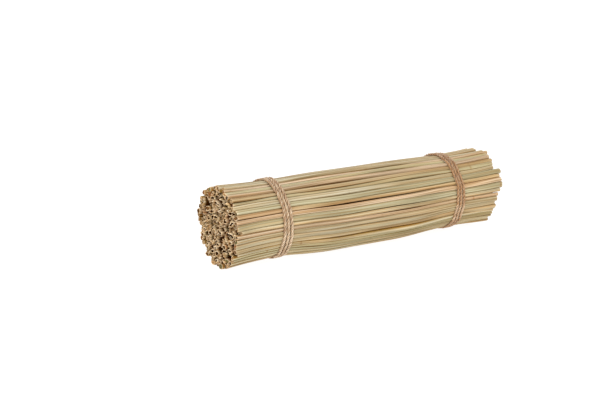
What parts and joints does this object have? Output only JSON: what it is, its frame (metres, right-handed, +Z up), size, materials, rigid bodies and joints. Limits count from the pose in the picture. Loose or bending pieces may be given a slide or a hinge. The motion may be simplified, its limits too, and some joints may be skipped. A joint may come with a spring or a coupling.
{
  "type": "bunch of dried reeds",
  "caption": "Bunch of dried straw-coloured reeds cut to one length, tied near both ends with jute twine and lying on its side, for water-garden and natural decoration.",
  "frame": {"origin": "on the surface the bunch lies on, under the middle of its box", "axes": "+X along the reeds from the cut butts to the thin ends, +Y across the bunch to the side of the knots, +Z up"},
  "size_m": [0.3146, 0.086, 0.08],
  "materials": {
    "reed": "satin dried stem, pale straw to grey green, streaked along its length",
    "inner_reed": "matte cut stem ends, pale rims round dark hollows",
    "jute": "matte twisted jute fibre"
  },
  "bodies": {
    "root": {"reed_01": "reed", "reed_02": "reed", "reed_03": "reed", "reed_04": "reed", "reed_05": "reed", "reed_06": "reed", "reed_07": "reed", "reed_08": "reed", "reed_09": "reed", "reed_10": "reed", "reed_11": "reed", "reed_12": "reed", "reed_13": "reed", "reed_14": "reed", "reed_15": "reed", "reed_16": "reed", "reed_17": "reed", "reed_18": "reed", "reed_19": "reed", "reed_20": "reed", "reed_21": "reed", "reed_22": "reed", "reed_23": "reed", "reed_24": "reed", "reed_25": "reed", "reed_26": "reed", "reed_27": "reed", "reed_28": "reed", "reed_29": "reed", "reed_30": "reed", "reed_31": "reed", "reed_32": "reed", "reed_33": "reed", "reed_34": "reed", "reed_35": "reed", "reed_36": "reed", "reed_37": "reed", "reed_38": "reed", "reed_39": "reed", "reed_40": "reed", "reed_41": "reed", "reed_42": "reed", "reed_43": "reed", "reed_44": "reed", "reed_45": "reed", "reed_46": "reed", "reed_47": "reed", "reed_48": "reed", "reed_49": "reed", "reed_50": "reed", "reed_51": "reed", "reed_52": "reed", "inner_reeds": "inner_reed", "butt_tie": "jute", "tip_tie": "jute"}
  },
  "joints": []
}
